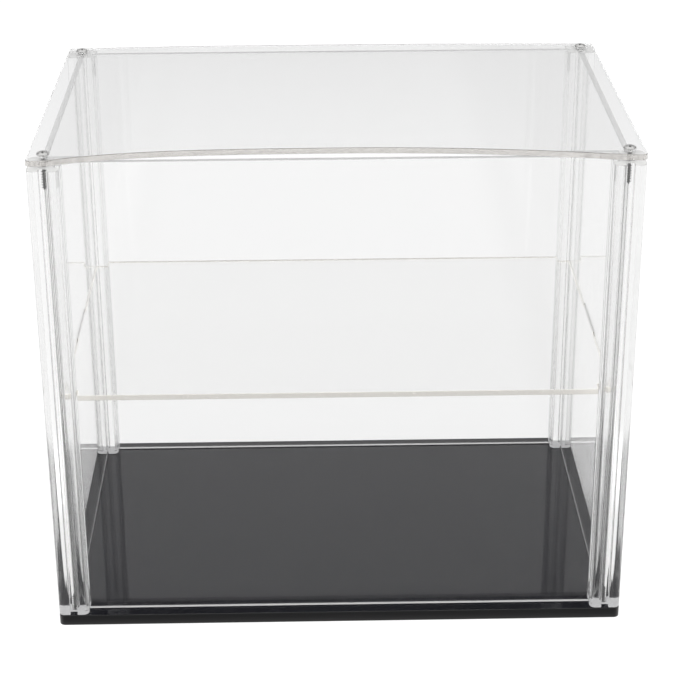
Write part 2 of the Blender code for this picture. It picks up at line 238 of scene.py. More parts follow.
class CaseStage(PropertyGroup):
    """Floor, light and camera."""
    floor_colour: colour("Floor", "Colour of the floor", (0.06, 0.06, 0.06))
    floor_half: length("Floor half size", "Half the floor's side", 6.0, high=50.0)
    white: brightness("White", "Brightness of the lit floor and backdrop", 1.0)
    beside: brightness("White beside", "The floor beside the case, seen through it", 1.35)
    corner_white: brightness("White at the front corners",
                             "The floor there, seen through the case", 0.89)
    behind_left: brightness("White behind, left", "The floor there, seen through the case", 0.91)
    behind_right: brightness("White behind, right", "The floor there, seen through the case", 0.87)
    side_white: brightness("White in mirrors", "Brightness of the lit floor in mirrors", 0.92)
    front_glow: brightness("Front glow", "The unlit floor before the case, in mirrors", 0.08)
    front_far: brightness("Front, far", "The floor well before the case, in mirrors", 0.2)
    backdrop_low: brightness("Backdrop, low", "The mirrored backdrop low down", 0.33)
    backdrop_high: brightness("Backdrop, high", "The mirrored backdrop at its top", 0.87)
    backdrop_top: FloatProperty(name="Backdrop top", description="Elevation of its upper edge",
                                default=math.radians(32.16), subtype="ANGLE")
    backdrop_hem: FloatProperty(name="Backdrop hem", description="Height of its half-lit hem",
                                default=math.radians(0.11), subtype="ANGLE")
    room: brightness("Room", "Brightness of the room behind the camera", 0.6)
    ceiling: brightness("Ceiling", "Brightness of the room over the backdrop", 0.07)
    overhead: brightness("Overhead", "Brightness of the mirrored softbox", 0.95)
    softbox_power: FloatProperty(name="Softbox", description="Power of the overhead softbox",
                                 default=26.0, min=0.0, subtype="POWER", unit="POWER")
    key_power: FloatProperty(name="Key light", description="Power of the light over the camera",
                             default=45.0, min=0.0, subtype="POWER", unit="POWER")
    lens: FloatProperty(name="Lens", description="Focal length of the camera in millimetres",
                        default=102.776, min=1.0, max=500.0)
    show_camera: BoolProperty(name="Use as camera", description="Look through this camera",
                              default=True)


# Outlines, meshes and the shapes they carry

def units(vectors):
    """Each vector at length one."""
    return vectors / np.linalg.norm(vectors, axis=1)[:, None]


def filleted(points, radii, steps, ease):
    """An outline with its corners rounded, as one closed loop of points.

    At each corner P, with unit vectors a and b to its neighbours that stand at an angle w,
    the arc starts radius / tan(w / 2) along a and ends as far along b. Its points are the
    two end radii mixed by sin((1 - u)(pi - w)) and sin(u(pi - w)). A point just outside
    each end of the arc keeps the shading of the flat beside it flat.
    """
    points = np.asarray(points, float)
    radii = np.broadcast_to(np.asarray(radii, float), len(points))
    before = units(np.roll(points, 1, 0) - points)
    after = units(np.roll(points, -1, 0) - points)
    angle = np.arccos(np.clip((before * after).sum(1), -1, 1))
    along = (radii / np.tan(angle / 2))[:, None]
    centre = points + units(before + after) * (radii / np.sin(angle / 2))[:, None]
    first = points + before * along - centre
    last = points + after * along - centre
    turn = (np.pi - angle)[:, None, None]
    u = np.linspace(0, 1, steps + 1)[None, :, None]
    arc = (np.sin((1 - u) * turn) * first[:, None] + np.sin(u * turn) * last[:, None])
    arc = arc / np.sin(turn) + centre[:, None]
    lead = (points + before * (along + ease))[:, None]
    trail = (points + after * (along + ease))[:, None]
    return np.concatenate([lead, arc, trail], 1).reshape(-1, 2)


def rectangle(width, height):
    """The four corners of a rectangle about its own middle, running counterclockwise."""
    return np.array([(1, -1), (1, 1), (-1, 1), (-1, -1)]) * (width / 2, height / 2)


def circle_loop(centre, radius, steps=HOLE_STEPS):
    """A hole's outline: points on a circle, running clockwise so that it faces its own middle."""
    turns = -np.linspace(0, 2 * np.pi, steps, endpoint=False)
    return np.stack([np.cos(turns), np.sin(turns)], 1) * radius + np.asarray(centre, float)


def outward(loop):
    """The mitred outward direction at each point of a loop.

    Each side's normal is its direction turned a right angle clockwise. The mitre is the sum
    of a point's two normals over one plus their dot product.
    """
    side = units(np.roll(loop, -1, 0) - loop)
    normal = np.stack([side[:, 1], -side[:, 0]], 1)
    other = np.roll(normal, 1, 0)
    return (normal + other) / (1 + (normal * other).sum(1))[:, None]


def rim_rows(low, high, radius, steps=CUT_STEPS):
    """Rows of (inset, height) up a rim: a quarter round, the upright wall, a quarter round.

    The inset is radius (1 - sin a) and the height low + radius (1 - cos a), for a from 0 to
    a right angle, and the same mirrored at the top.
    """
    a = np.linspace(0, np.pi / 2, steps + 1)
    bottom = np.stack([radius * (1 - np.sin(a)), low + radius * (1 - np.cos(a))], 1)
    top = np.stack([bottom[::-1, 0], low + high - bottom[::-1, 1]], 1)
    return np.concatenate([bottom, top])


def ring_faces(rows, columns):
    """Four-sided faces between rows of points, where each row is a closed ring."""
    row, column = np.arange(rows - 1)[:, None] * columns, np.arange(columns)
    low, beside = row + column, row + (column + 1) % columns
    return np.stack([low, beside, beside + columns, low + columns], -1).reshape(-1, 4)


def sheet_arrays(outlines, inner=None):
    """Points, faces and face kinds of a sheet whose outlines are carried along rim profiles.

    outlines is a list of (loop, rows). A wall point is loop - inset * outward at its row's
    height. The bottom and top are the first and last rows, filled with triangles between
    the loops and over the inner points. Kinds: 0 is a broad face, 1 a wall.
    """
    points, quads, first_rows, last_rows = [], [], [], []
    start = 0
    for loop, rows in outlines:
        count = len(loop)
        flat = loop[None] - rows[:, 0, None, None] * outward(loop)[None]
        tall = np.broadcast_to(rows[:, 1, None, None], (len(rows), count, 1))
        points.append(np.concatenate([flat, tall], 2).reshape(-1, 3))
        quads.append(ring_faces(len(rows), count) + start)
        first_rows.append(start + np.arange(count))
        start += len(rows) * count
        last_rows.append(start - count + np.arange(count))
    points = np.concatenate(points)
    quads = np.concatenate(quads)
    triangles = []
    for rings, upward in ((first_rows, False), (last_rows, True)):
        index = np.concatenate(rings)
        height = points[index[0], 2]
        if inner is not None:
            index = np.concatenate([index, len(points) + np.arange(len(inner))])
            extra = np.column_stack([inner, np.full(len(inner), height)])
            points = np.concatenate([points, extra])
        edges, offset = [], 0
        for ring in rings:
            around = offset + np.arange(len(ring))
            edges.append(np.stack([around, np.roll(around, -1)], 1))
            offset += len(ring)
        plane = [Vector(p) for p in points[index, :2].tolist()]
        found = delaunay_2d_cdt(plane, np.concatenate(edges).tolist(), [], 4, 1e-9)
        if len(found[0]) != len(plane):
            raise RuntimeError("a sheet's outlines cross or touch each other")
        order = np.array([source[0] for source in found[3]])
        corner = index[order[np.array(found[2])]]
        a, b, c = (points[corner[:, k], :2] for k in range(3))
        ab, ac = b - a, c - a
        wrong = (ab[:, 0] * ac[:, 1] - ab[:, 1] * ac[:, 0] > 0) != upward
        corner[wrong] = corner[wrong][:, ::-1]
        triangles.append(corner)
    triangles = np.concatenate(triangles)
    kinds = np.concatenate([np.ones(len(quads), int), np.zeros(len(triangles), int)])
    return points, quads, triangles, kinds


def fill_mesh(name, points, quads, triangles, kinds=None):
    """Put whole arrays of points, four-sided faces and triangles into a new mesh."""
    mesh = bpy.data.meshes.new(name)
    corners = np.concatenate([quads.ravel(), triangles.ravel()]).astype(np.int32)
    starts = np.concatenate([np.arange(len(quads)) * 4,
                             len(quads) * 4 + np.arange(len(triangles)) * 3]).astype(np.int32)
    mesh.vertices.add(len(points))
    mesh.vertices.foreach_set("co", np.ascontiguousarray(points, np.float32).ravel())
    mesh.loops.add(len(corners))
    mesh.loops.foreach_set("vertex_index", corners)
    mesh.polygons.add(len(starts))
    mesh.polygons.foreach_set("loop_start", starts)
    if kinds is not None:
        mesh.polygons.foreach_set("material_index", kinds.astype(np.int32))
    mesh.update(calc_edges=True)
    if mesh.validate():
        raise RuntimeError(name + " has faces that don't hold together")
    return mesh


def in_scene(name, data):
    """A new object in the scene, of a mesh, a lamp or a camera."""
    made = bpy.data.objects.new(name, data)
    bpy.context.scene.collection.objects.link(made)
    return made


def finished(context, node, body, arrays, slot, finish, sharp=SHEET_SHARP, name=None):
    """Make a piece of its arrays and let it stand for its CAD node on its body.

    finish names a material for each kind of face. Clear acrylic passes nearly all light,
    so the clear pieces cast no shadow.
    """
    name = (name or node) + "_finished"
    mesh = fill_mesh(name, *arrays)
    made = in_scene(name, mesh)
    materials = finishes(context)
    for key in finish:
        mesh.materials.append(materials[key])
    mesh.shade_smooth()
    mesh.set_sharp_from_angle(angle=math.radians(sharp))
    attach(made, body)
    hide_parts(node)
    if slot.endswith("_clear"):
        made.visible_shadow = False


def placed(points, origin, axes):
    """Lay points given along three axes at an origin: origin + u U + v V + w W."""
    return np.asarray(origin, float) + points @ np.asarray(axes, float)


# Materials

def material_nodes(name):
    """A new material, its node tree and its Principled shader."""
    material = bpy.data.materials.new(name)
    material.use_nodes = True
    tree = material.node_tree
    return material, tree, tree.nodes["Principled BSDF"]


def feed(tree, node, inputs):
    """Give each input of a node that is named or numbered a value, or a link from a socket."""
    for label, value in inputs.items():
        if isinstance(value, bpy.types.NodeSocket):
            tree.links.new(value, node.inputs[label])
        else:
            node.inputs[label].default_value = value


def added(tree, kind, inputs, **settings):
    """A new shader node with its settings and its inputs."""
    node = tree.nodes.new("ShaderNode" + kind)
    for name, value in settings.items():
        setattr(node, name, value)
    feed(tree, node, inputs)
    return node


def maths(tree, operation, *values):
    """The result of a sum on sockets or numbers."""
    return added(tree, "Math", dict(enumerate(values)), operation=operation).outputs["Value"]


def step(tree, value, low, high, first, last, kind="SMOOTHSTEP"):
    """A change from first to last as value passes from low to high."""
    node = added(tree, "MapRange", {
        "Value": value, "From Min": low, "From Max": high, "To Min": first, "To Max": last},
        interpolation_type=kind)
    return node.outputs["Result"]


def spread_over(tree, mask, first, last):
    """A straight change from first to last as a mask goes from nothing to all."""
    return step(tree, mask, 0.0, 1.0, first, last, "LINEAR")


def blended(tree, mask, first, last):
    """Two colours blended by a mask."""
    mix = added(tree, "Mix", {"Factor": mask, "A": (*first, 1), "B": (*last, 1)},
                data_type="RGBA")
    return mix.outputs["Result"]


def new_group(name, inputs, outputs):
    """A shader node group that takes a Vector and named numbers, and its two end nodes."""
    group = bpy.data.node_groups.new(name, "ShaderNodeTree")
    group.interface.new_socket(name="Vector", in_out="INPUT", socket_type="NodeSocketVector")
    for label, default in inputs.items():
        socket = group.interface.new_socket(name=label, in_out="INPUT",
                                            socket_type="NodeSocketFloat")
        socket.default_value = default
    for label in outputs:
        group.interface.new_socket(name=label, in_out="OUTPUT", socket_type="NodeSocketFloat")
    return group, group.nodes.new("NodeGroupInput"), group.nodes.new("NodeGroupOutput")


def handling_group():
    """Faint hand marks on polished sheet, as a roughness."""
    found = bpy.data.node_groups.get("Handling marks")
    if found:
        return found
    numbers = {"Polish": 0.01, "Marks": 0.02, "Scale": 14.0}
    group, start, end = new_group("Handling marks", numbers, ["Roughness"])
    smear = added(group, "TexNoise", {
        "Vector": start.outputs["Vector"], "Scale": start.outputs["Scale"],
        "Detail": 5.0, "Roughness": 0.62, "Distortion": 0.6})
    gate = step(group, smear.outputs["Fac"], 0.52, 0.74, 0.0, 1.0)
    marked = maths(group, "MULTIPLY_ADD", gate, start.outputs["Marks"], start.outputs["Polish"])
    feed(group, end, {"Roughness": marked})
    return group


def cut_group():
    """Fine upright ridges left by a saw or a laser: a mask and a height for a Bump."""
    found = bpy.data.node_groups.get("Cut ridges")
    if found:
        return found
    numbers = {"Pitch scale": 600.0, "Waver": 2.0}
    group, start, end = new_group("Cut ridges", numbers, ["Ridge", "Height"])
    wave = added(group, "TexWave", {
        "Vector": start.outputs["Vector"], "Scale": start.outputs["Pitch scale"],
        "Distortion": start.outputs["Waver"], "Detail": 2.0, "Detail Scale": 1.4},
        wave_type="BANDS", bands_direction="DIAGONAL")
    fleck = added(group, "TexNoise", {
        "Vector": start.outputs["Vector"], "Scale": 900.0, "Detail": 3.0})
    ridged = maths(group, "MULTIPLY", wave.outputs["Fac"], fleck.outputs["Fac"])
    feed(group, end, {"Ridge": fleck.outputs["Fac"], "Height": ridged})
    return group


def object_coordinates(tree):
    """The Object output of a Texture Coordinate node."""
    return tree.nodes.new("ShaderNodeTexCoord").outputs["Object"]


def bump_from(tree, height, strength):
    """A Bump node that reads a height, feeding the Principled shader's Normal."""
    bump = added(tree, "Bump", {
        "Strength": strength, "Distance": BUMP_DISTANCE, "Height": height})
    feed(tree, tree.nodes["Principled BSDF"], {"Normal": bump.outputs["Normal"]})


def clear_material(name, tint, refraction, polish, marks):
    """Polished clear acrylic with faint hand marks."""
    material, tree, shader = material_nodes(name)
    handled = added(tree, "Group", {
        "Vector": object_coordinates(tree), "Polish": polish, "Marks": marks},
        node_tree=handling_group())
    feed(tree, shader, {"Base Color": (*tint, 1), "Transmission Weight": 1.0,
                        "IOR": refraction, "Roughness": handled.outputs["Roughness"]})
    return material


def cut_material(name, tint, refraction, transmission, roughness, ridge, mottle=0.06):
    """The frosted, slightly mottled face that a laser or a saw leaves on clear acrylic."""
    material, tree, shader = material_nodes(name)
    cut = added(tree, "Group", {"Vector": object_coordinates(tree)},
                node_tree=cut_group())
    mask = cut.outputs["Ridge"]
    dark = [c * (1 - mottle) for c in tint]
    light = [min(1.0, c * (1 + mottle)) for c in tint]
    feed(tree, shader, {"Transmission Weight": transmission, "IOR": refraction,
                        "Roughness": spread_over(tree, mask, roughness * 0.75, roughness * 1.25),
                        "Base Color": blended(tree, mask, dark, light)})
    bump_from(tree, cut.outputs["Height"], ridge)
    return material


def black_material(name, tint, refraction, polish, smear):
    """Black acrylic with hand marks and a few fine specks of dust."""
    material, tree, shader = material_nodes(name)
    coordinates = object_coordinates(tree)
    handled = added(tree, "Group", {
        "Vector": coordinates, "Polish": polish, "Marks": smear, "Scale": 9.0},
        node_tree=handling_group())
    dust = added(tree, "TexVoronoi", {"Vector": coordinates, "Scale": 130.0})
    speck = step(tree, dust.outputs["Distance"], 0.012, 0.035, 1.0, 0.0, "LINEAR")
    feed(tree, shader, {"IOR": refraction, "Roughness": handled.outputs["Roughness"],
                        "Base Color": blended(tree, speck, tint, DUST_COLOUR)})
    return material


def steel_material(name, tint):
    """Plain steel with turning grain."""
    material, tree, shader = material_nodes(name)
    noise = added(tree, "TexNoise", {
        "Vector": object_coordinates(tree), "Scale": 1500.0, "Detail": 4.0})
    grain = noise.outputs["Fac"]
    feed(tree, shader, {"Metallic": 1.0, "Roughness": spread_over(tree, grain, 0.16, 0.42),
                        "Base Color": blended(tree, grain, [c * 0.8 for c in tint], tint)})
    bump_from(tree, grain, 0.15)
    return material


def finishes(context):
    """Every material of the case, made on first use.

    After the tint come the refraction and, for sheet and black, polish and marks; for cut
    edges, transmission, roughness, ridge and mottle.
    """
    finish = context.scene.case_finish
    index = finish.refraction
    plans = {
        "black": (black_material, "Black acrylic", finish.black, index, 0.02, 0.02),
        "black_edge": (black_material, "Black cut edge", finish.black_edge, index, 0.3, 0.1),
        "sheet": (clear_material, "Clear sheet", finish.clear, index, 0.004, 0.006),
        "shelf": (clear_material, "Shelf sheet", finish.shelf_clear, index, 0.004, 0.006),
        "lid": (clear_material, "Lid sheet", finish.lid_clear, index, 0.004, 0.01),
        "post": (clear_material, "Post extrusion", finish.post_clear, index, 0.15, 0.02),
        "edge": (cut_material, "Laser-cut edge", finish.cut_edge, index, 0.75, 0.1, 0.2),
        "panel_edge": (cut_material, "Panel edge", finish.panel_edge, index, 0.5, 0.14, 0.2),
        # Lid sides and hole walls: a lighter copy of the cut edge, painted light.
        "lid_side": (cut_material, "Lid side", finish.lid_side, index, 0.5, 0.2, 0.2),
        # Opaque near-black slot walls: painted shade in the tab slots.
        "tab_slot": (cut_material, "Tab slot", finish.tab_slot, index, 0.0, 0.4, 0.2),
        # Shelf edges: a lighter copy of the cut edge, painted light.
        "shelf_edge": (cut_material, "Shelf edge", finish.shelf_edge, index, 0.3, 0.25, 0.2),
        "sawn": (cut_material, "Sawn end", finish.sawn_end, index, 0.0, 0.5, 0.6, 0.3),
        # Sawn tops: a lighter copy of the sawn feet, painted light.
        "sawn_top": (cut_material, "Sawn top", finish.sawn_top, index, 0.0, 0.5, 0.6, 0.2),
        "steel": (steel_material, "Screw steel", finish.steel),
        # Painted shade: the threads and the recesses in a darker copy of the steel.
        "thread": (steel_material, "Screw thread", finish.thread),
    }
    return {key: bpy.data.materials.get(plan[1]) or plan[0](*plan[1:])
            for key, plan in plans.items()}


# Pieces

class CASE_OT_base_plate(Operator):
    """Black base plate with rounded corners and countersunk holes under the posts"""
    bl_idname = "case.base_plate"
    bl_label = "Base plate"

    def execute(self, context):
        sizes = context.scene.case_sizes
        screws = context.scene.case_screws
        loop = filleted(rectangle(*BASE_SIZE[:2]), sizes.plate_corner, CORNER_STEPS, PLATE_EASE)
        outlines = [(loop, rim_rows(0.0, BASE_SIZE[2], sizes.base_rim))]
        head = BASE_SCREW_SPAN[0] / 2 + SUNK_CLEARANCE
        mouth = BASE_SCREW_LOW[2] + screws.sunk_rim + SUNK_CLEARANCE
        depth = BASE_SCREW_SPAN[0] / 2 - screws.shank
        inset = sizes.base_hole - head
        rows = np.array([(0, 0), (0, mouth), (inset, mouth + depth), (inset, BASE_SIZE[2])])
        outlines += [(circle_loop(place, head), rows) for place in PLACES.values()]
        finished(context, "base_plate", "case", sheet_arrays(outlines), "base_black",
                 ("black", "black_edge"))
        return {"FINISHED"}


class CASE_OT_posts(Operator):
    """Four clear posts with three slots, a plain outer side, a bore and sawn ends"""
    bl_idname = "case.posts"
    bl_label = "Corner posts"

    def execute(self, context):
        sizes = context.scene.case_sizes
        half = POST_SPAN[0] / 2
        lip = sizes.slot_width / 2
        floor = sizes.slot_depth - half
        side = np.array([(-lip, -half), (-lip, floor), (lip, floor), (lip, -half), (half, -half)])
        turns = [np.array([(math.cos(a), math.sin(a)), (-math.sin(a), math.cos(a))])
                 for a in np.arange(3) * np.pi / 2]
        corners = np.concatenate([side @ turn for turn in turns] + [[(-half, -half)]])
        radii = [sizes.slot_lip, sizes.slot_floor, sizes.slot_floor, sizes.slot_lip,
                 sizes.post_corner] * 3 + [sizes.post_corner]
        outer = filleted(corners, radii, CORNER_STEPS, OUTLINE_EASE)
        rows = rim_rows(0.0, POST_SPAN[2], SAWN_RIM, 2)
        bore = circle_loop((0, 0), sizes.bore)
        points, quads, triangles, kinds = sheet_arrays([(outer, rows), (bore, rows)])
        kinds = 1 - kinds
        tops = points[triangles[:, 0], 2] > POST_SPAN[2] / 2
        kinds[len(quads):][tops] = 2
        for corner, (x, y) in PLACES.items():
            turn = -x / POST_X
            world = placed(points, (x, y, POST_LOW[2]), [(turn, 0, 0), (0, turn, 0), (0, 0, 1)])
            finished(context, "post_" + corner, "case", (world, quads, triangles, kinds),
                     "post_clear", ("post", "sawn", "sawn_top"))
        return {"FINISHED"}


def panel_arrays(width, height, thickness, rim, holes=()):
    """A flat sheet about its own middle, with laser-cut rims and any slots cut in it."""
    rows = rim_rows(-thickness / 2, thickness / 2, rim)
    loops = [filleted(rectangle(width, height), rim * 2, CUT_STEPS, PANEL_EASE), *holes]
    return sheet_arrays([(loop, rows) for loop in loops])


class CASE_OT_front_and_back(Operator):
    """Front and back panels, plain clear sheets in the posts' slots"""
    bl_idname = "case.front_and_back"
    bl_label = "Front and back panels"

    def execute(self, context):
        sizes = context.scene.case_sizes
        for node, body in (("front_panel", "front_wall"), ("back_panel", "back_wall")):
            low, span = cad_span(node)
            points, *faces = panel_arrays(span[0], span[2], span[1], sizes.rim)
            world = placed(points, low + span / 2, [(1, 0, 0), (0, 0, 1), (0, -1, 0)])
            finished(context, node, body, (world, *faces), "panel_clear", ("sheet", "panel_edge"))
        return {"FINISHED"}


class CASE_OT_shelf_unit(Operator):
    """Side panels with their tab slots, and the notched shelf that hangs in them"""
    bl_idname = "case.shelf_unit"
    bl_label = "Shelf and side panels"

    def execute(self, context):
        sizes = context.scene.case_sizes
        shelf_middle = SHELF_LOW[2] + SHELF_SPAN[2] / 2
        for node in ("left_panel", "right_panel"):
            low, span = cad_span(node)
            middle = low + span / 2
            half_y = sizes.tab / 2 + sizes.tab_slot_clearance
            half_z = SHELF_SPAN[2] / 2 + sizes.tab_slot_gap
            rise = shelf_middle - middle[2]
            slot = rectangle(2 * half_y, 2 * half_z)[::-1] + (0, rise)
            slot = filleted(slot, SLOT_CORNER, CUT_STEPS, PANEL_EASE)
            points, quads, triangles, kinds = panel_arrays(span[1], span[2], span[0],
                                                           sizes.rim, [slot])
            # The slot's walls take the near-black finish: painted shade.
            walls = np.abs(points[quads].mean(1)[:, :2] - (0, rise))
            in_slot = (walls < (half_y + SLOT_MARGIN, half_z + SLOT_MARGIN)).all(1)
            kinds[:len(quads)][in_slot] = 2
            world = placed(points, middle, [(0, 1, 0), (0, 0, 1), (1, 0, 0)])
            finished(context, node, "shelf_unit", (world, quads, triangles, kinds), "panel_clear",
                     ("sheet", "panel_edge", "tab_slot"))
        face = sizes.sheet / 2 + sizes.shelf_edge_gap
        edge_x, edge_y = POST_X - face, POST_Y - face
        notch_x = POST_X - POST_SPAN[0] / 2 - sizes.shelf_post_gap
        notch_y = POST_Y - POST_SPAN[1] / 2 - sizes.shelf_post_gap
        tab_x, tab_y = SHELF_SPAN[0] / 2, sizes.tab / 2
        quarter = np.array([(tab_x, tab_y), (edge_x, tab_y), (edge_x, notch_y),
                            (notch_x, notch_y), (notch_x, edge_y)])
        outline = np.concatenate([quarter, quarter[::-1] * (-1, 1), quarter * (-1, -1),
                                  quarter[::-1] * (1, -1)])
        rows = rim_rows(-SHELF_SPAN[2] / 2, SHELF_SPAN[2] / 2, sizes.rim)
        loop = filleted(outline, sizes.rim * 2, CUT_STEPS + 1, OUTLINE_EASE)
        points, *faces = sheet_arrays([(loop, rows)])
        finished(context, "shelf", "shelf_unit", (points + (0, 0, shelf_middle), *faces),
                 "shelf_clear", ("shelf", "shelf_edge"))
        return {"FINISHED"}


def lid_rise(warp, x, y):
    """Height of the warped lid over its flat place.

    lift (1 - t) + bow (1 - u squared) (1 + lean u squared, left of the middle only)
    (1 - (1 - back) t), where u is x over the arch's reach and t runs from 0 at the front
    edge to 1 at the back.
    """
    u = np.clip(x / warp.reach, -1, 1)
    arch = (1 - u ** 2) * np.where(u < 0, 1 + warp.lean_share * u ** 2, 1)
    t = (y + BASE_SIZE[1] / 2) / BASE_SIZE[1]
    return warp.lift * (1 - t) + warp.bow * arch * (1 - (1 - warp.back_share) * t)


class CASE_OT_lid(Operator):
    """The clear lid, bowed up at its front, with holes for the four screws"""
    bl_idname = "case.lid"
    bl_label = "Lid"

    def execute(self, context):
        sizes = context.scene.case_sizes
        warp = context.scene.case_warp
        half_x, half_y = LID_SPAN[0] / 2, LID_SPAN[1] / 2
        corners = rectangle(*LID_SPAN[:2])
        loop = spread(filleted(corners, sizes.plate_corner, CORNER_STEPS, PLATE_EASE), LID_STEP)
        rows = rim_rows(0.0, sizes.sheet, sizes.rim)
        centres = np.array(list(PLACES.values()))
        outlines = [(loop, rows)] + [(circle_loop(c, sizes.lid_hole), rows) for c in centres]
        across = np.linspace(-half_x, half_x, LID_ACROSS)[1:-1]
        deep = np.linspace(-half_y, half_y, LID_DEEP)[1:-1]
        inner = np.stack(np.meshgrid(across, deep), -1).reshape(-1, 2)
        gaps = np.linalg.norm(inner[:, None] - centres[None], axis=2).min(1)
        in_corner = (np.abs(inner) > (half_x - LID_STEP, half_y - LID_STEP)).all(1)
        inner = inner[(gaps > sizes.lid_hole + LID_HOLE_MARGIN) & ~in_corner]
        points, quads, triangles, kinds = sheet_arrays(outlines, inner)
        # The walls behind the front band, the holes' walls too, take the lighter edge finish:
        # painted light.
        kinds[:len(quads)][points[quads].mean(1)[:, 1] > LID_FRONT_BAND - half_y] = 2
        points[:, 2] += LID_LOW[2] + lid_rise(warp, points[:, 0], points[:, 1])
        finished(context, "lid_plate", "lid", (points, quads, triangles, kinds), "lid_clear",
                 ("lid", "edge", "lid_side"), name="lid")
        return {"FINISHED"}


def spread(loop, longest):
    """Add points along a loop's long sides, so that a warp bends them evenly.

    Each side is divided into as many equal steps as keep them under the longest length.
    """
    side = np.roll(loop, -1, 0) - loop
    steps = np.maximum(1, np.ceil(np.linalg.norm(side, axis=1) / longest)).astype(int)
    owner = np.repeat(np.arange(len(loop)), steps)
    within = np.arange(len(owner)) - np.repeat(np.cumsum(steps) - steps, steps)
    return loop[owner] + side[owner] * (within / steps[owner])[:, None]


def turned_arrays(radius, height, painted_shade, top, bottom, origin, flip=False):
    """A turned piece from a radius and a height over rows and turns, with its two poles.

    A point is (radius cos a, radius sin a, height), a its column's share of a full turn.
    Faces that the third grid marks are of kind 1, the darker steel of painted shade. Flipped, the
    piece is turned half round about X, so that it points up.
    """
    rows, columns = radius.shape
    a = np.linspace(0, 2 * np.pi, columns, endpoint=False)[None]
    grid = np.stack([radius * np.cos(a), radius * np.sin(a), height], -1).reshape(-1, 3)
    points = np.concatenate([grid, [(0, 0, top), (0, 0, bottom)]])
    if flip:
        points = points * (1, -1, -1)
    points = points + origin
    quads = ring_faces(rows, columns)[:, [0, 3, 2, 1]]
    around = np.arange(columns)
    beside = (around + 1) % columns
    last = (rows - 1) * columns
    cap = np.stack([np.full(columns, rows * columns), around, beside], 1)
    point = np.stack([np.full(columns, rows * columns + 1), last + beside, last + around], 1)
    kinds = np.concatenate([painted_shade[1:].ravel(), np.ones(2 * columns)])
    return points, quads, np.concatenate([cap, point]), kinds


def screw_rows(screws, profile, reach):
    """Radius and height grids of a screw that hangs down from the seat of its head.

    A third grid marks the parts painted darker as shade: the recess and the shank with its thread.
    profile holds the head's (radius, height) points from near its middle to the shank. The
    cross recess sinks the head's top by depth times the root of 1 - (along / half span)
    squared, times a smooth fall across each arm. Below the seat the thread adds a ridge to
    the shank where the depth over the pitch, plus the turn, is near a half, fading in
    under the plain shank and out at the tip.
    """
    columns = screws.columns
    a = np.linspace(0, 2 * np.pi, columns, endpoint=False)[None]
    radius = np.repeat(profile[:, :1], columns, 1)
    height = np.repeat(profile[:, 1:], columns, 1)
    x, y = np.abs(radius * np.cos(a)), np.abs(radius * np.sin(a))
    half, width = screws.recess_span / 2, screws.recess_width / 2

    def arm(along, across):
        fall = np.clip(1 - (along / half) ** 2, 0, 1) ** 0.5
        wall = np.clip((width * ARM_EDGE - across) / (width * ARM_FALL), 0, 1)
        return fall * wall * wall * (3 - 2 * wall)

    top = height > 0
    sink = np.maximum(arm(x, y), arm(y, x)) * screws.recess_depth
    height = np.where(top, height - sink, height)
    steps = int(round((reach - screws.tip) / screws.pitch * ROWS_A_TURN))
    down = np.linspace(0, 1, steps)[:, None] * (reach - screws.tip * TIP_BLUNT)
    phase = (down / screws.pitch + a / (2 * np.pi)) % 1
    ridge = np.clip(RIDGE_HEIGHT - np.abs(phase - 0.5) * RIDGE_SLOPE, 0, 1)
    point = np.clip((reach - down) / screws.tip, 0, 1)
    fade = np.clip((down - THREAD_START) / THREAD_FADE, 0, 1)
    core = screws.shank + (screws.root - screws.shank) * fade
    shank = (core + ridge * fade * (screws.crest - core)) * point
    drop = np.broadcast_to(-SEAT_STEP - down, shank.shape)
    # The deeper recess, the shank and its thread take the darker steel: painted shade.
    hollow = top & (sink > PAINTED_SHADE_SHARE * screws.recess_depth)
    painted_shade = np.concatenate([hollow, np.ones(shank.shape, bool)])
    return np.concatenate([radius, shank]), np.concatenate([height, drop]), painted_shade


class CASE_OT_lid_screws(Operator):
    """Four pan head screws with a cross recess and a thread"""
    bl_idname = "case.lid_screws"
    bl_label = "Lid screws"

    def execute(self, context):
        screws = context.scene.case_screws
        rim = LID_SCREW_SPAN[0] / 2
        dome = screws.head_height - screws.head_rim
        out = np.linspace(0.02, 1, HEAD_ROWS)
        swell = np.stack([rim * out, screws.head_rim + dome * np.sqrt(1 - (0.985 * out) ** 2)], 1)
        under = np.array([(rim, screws.head_rim * 0.4), (rim * 0.97, 0.00002),
                          (rim * 0.9, 0), (screws.shank * 1.3, 0), (screws.shank, 0)])
        profile = np.concatenate([swell, under])
        reach = LID_SCREW_SPAN[2] - screws.head_height
        grids = screw_rows(screws, profile, reach)
        for corner, place in PLACES.items():
            shift = int(HEAD_TURNS[corner] / (2 * math.pi) * screws.columns)
            seat = cad_span("lid_screw_" + corner)[0][2] + reach
            arrays = turned_arrays(*(np.roll(grid, shift, 1) for grid in grids),
                                   screws.head_height - screws.recess_depth, -reach,
                                   (*place, seat))
            finished(context, "lid_screw_" + corner, "screw_" + corner, arrays, "screw_steel",
                     ("steel", "thread"), SCREW_SHARP)
        return {"FINISHED"}


